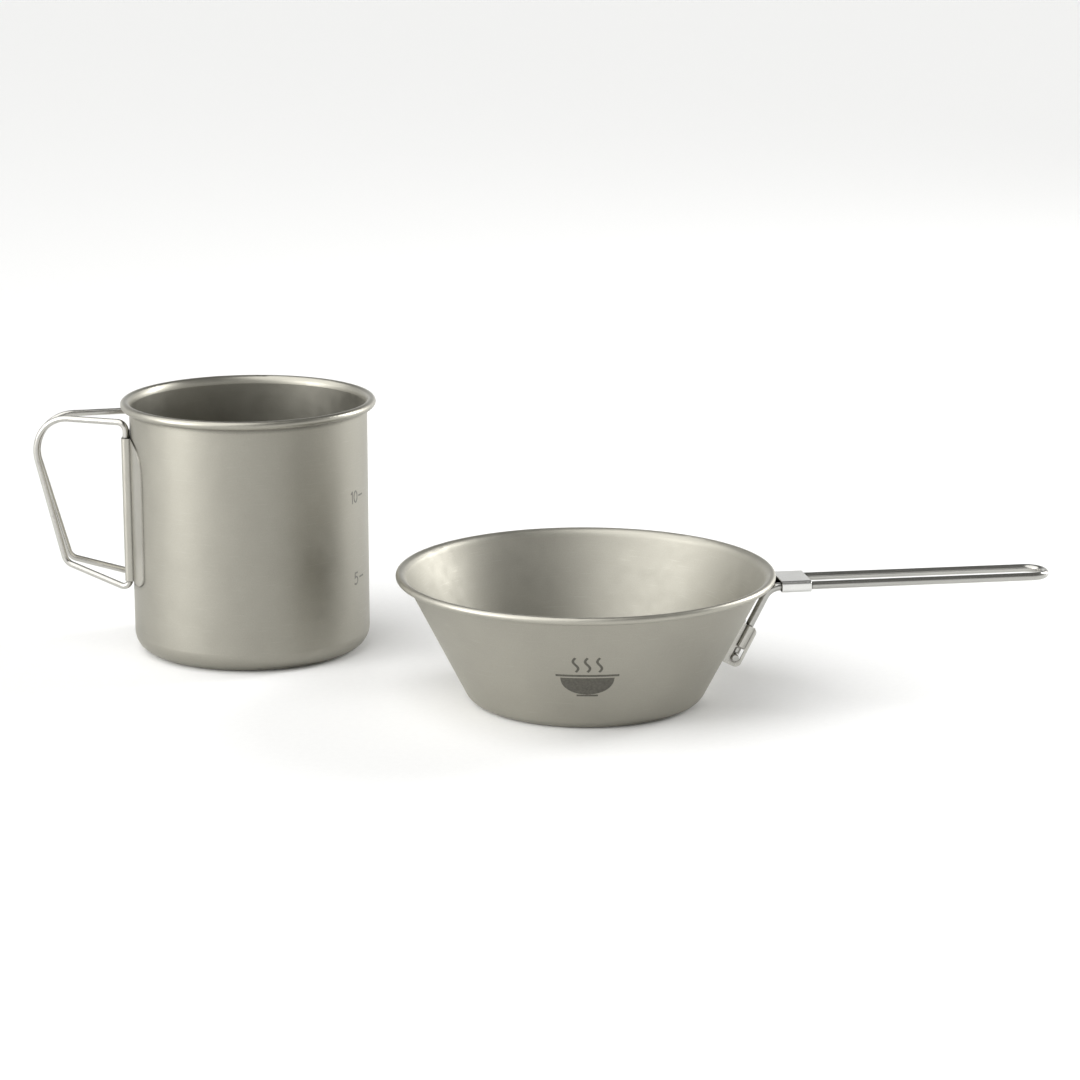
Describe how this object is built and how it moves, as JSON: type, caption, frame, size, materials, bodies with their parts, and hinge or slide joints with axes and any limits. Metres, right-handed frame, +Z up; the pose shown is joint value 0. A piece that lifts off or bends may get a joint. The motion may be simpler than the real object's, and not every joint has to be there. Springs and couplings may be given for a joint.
{
  "type": "camping cook pot set",
  "caption": "Thin titanium camping bowl with a long folding wire handle and a sliding lock sleeve, and a straight mug with folding wire loops.",
  "frame": {"origin": "centre of the bowl's flat base, on the surface that the bowl and the mug stand on", "axes": "+Z up; +X along the bowl's long handle, away from the bowl; the mug stands behind the bowl on the side away from the handle"},
  "size_m": [0.336, 0.1905, 0.088],
  "materials": {
    "shell_titanium": "satin",
    "bracket_titanium": "satin",
    "bright_wire": "polished",
    "collar_metal": "satin",
    "bead_blasted_wire": "satin"
  },
  "bodies": {
    "mug": {"mug_shell": "shell_titanium", "mug_handle_bracket": "bracket_titanium"},
    "mug_handle_right": {"mug_handle_right": "bead_blasted_wire"},
    "mug_handle_left": {"mug_handle_left": "bead_blasted_wire"},
    "bowl": {"bowl_shell": "shell_titanium", "bowl_handle_bracket": "bracket_titanium"},
    "bowl_handle": {"bowl_handle_wire": "bright_wire"},
    "handle_collar": {"handle_collar": "collar_metal"}
  },
  "joints": [
    {"name": "mug_handle_right_fold", "type": "hinge", "parent": "mug", "child": "mug_handle_right", "pos_m": [-0.14642, 0.08141, 0.044], "axis": [0, 0, 1], "range_deg": [0, 120]},
    {"name": "mug_handle_left_fold", "type": "hinge", "parent": "mug", "child": "mug_handle_left", "pos_m": [-0.14203, 0.10296, 0.044], "axis": [0, 0, -1], "range_deg": [0, 120]},
    {"name": "bowl_lift", "type": "slide", "parent": "mug", "child": "bowl", "axis": [0, 0, 1], "range_m": [0, 0.12]},
    {"name": "bowl_handle_fold", "type": "hinge", "parent": "bowl", "child": "bowl_handle", "pos_m": [0.04877, 0, 0.01347], "axis": [0, 1, 0], "range_deg": [0, 180]},
    {"name": "collar_slide", "type": "slide", "parent": "bowl_handle", "child": "handle_collar", "axis": [1, 0, 0], "range_m": [0, 0.0755]}
  ]
}
